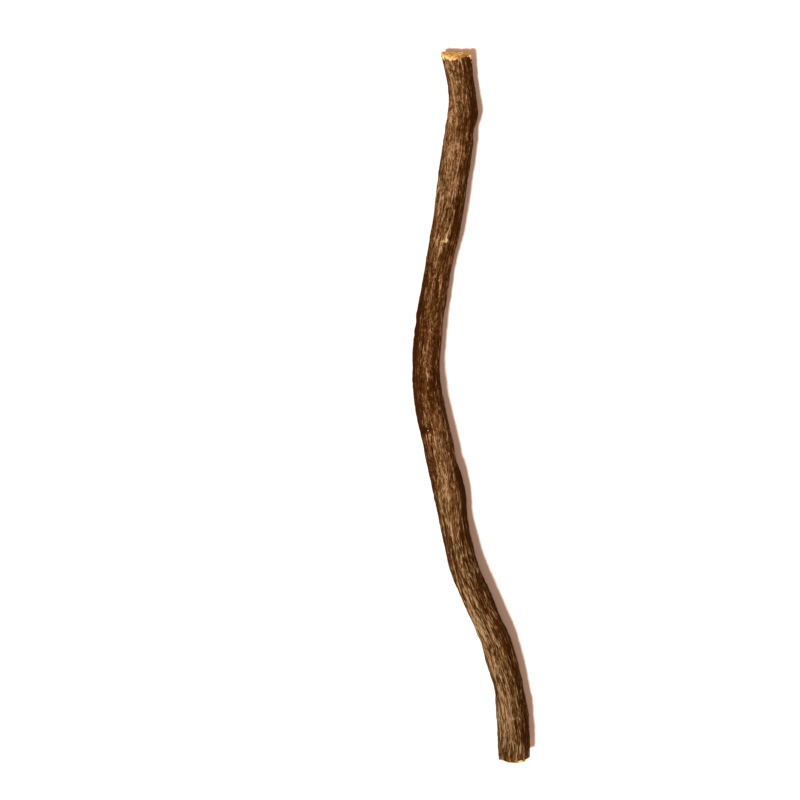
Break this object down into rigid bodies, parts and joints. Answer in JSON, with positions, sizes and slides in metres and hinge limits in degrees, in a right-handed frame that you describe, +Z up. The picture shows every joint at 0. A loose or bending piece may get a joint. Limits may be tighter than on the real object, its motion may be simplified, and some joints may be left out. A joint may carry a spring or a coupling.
{
  "type": "licorice root",
  "caption": "Cut length of dried licorice root: a slim, gently S-bent brown rod with furrowed bark, small knots and pale cut ends, lying on a surface.",
  "frame": {"origin": "centre of the root's box in plan, on the surface that it lies on", "axes": "+Z up, away from that surface; +Y along the root, towards the cut that shows its pale face from above; +X to the right seen from above with +Y up the view"},
  "size_m": [0.0294, 0.1776, 0.0084],
  "materials": {
    "bark": "matte furrowed bark, grey-tan on its ridges and dark red-brown in its furrows",
    "cut_wood": "matte fibrous straw-yellow cut wood"
  },
  "bodies": {
    "root": {"licorice_root": "bark"}
  },
  "joints": []
}
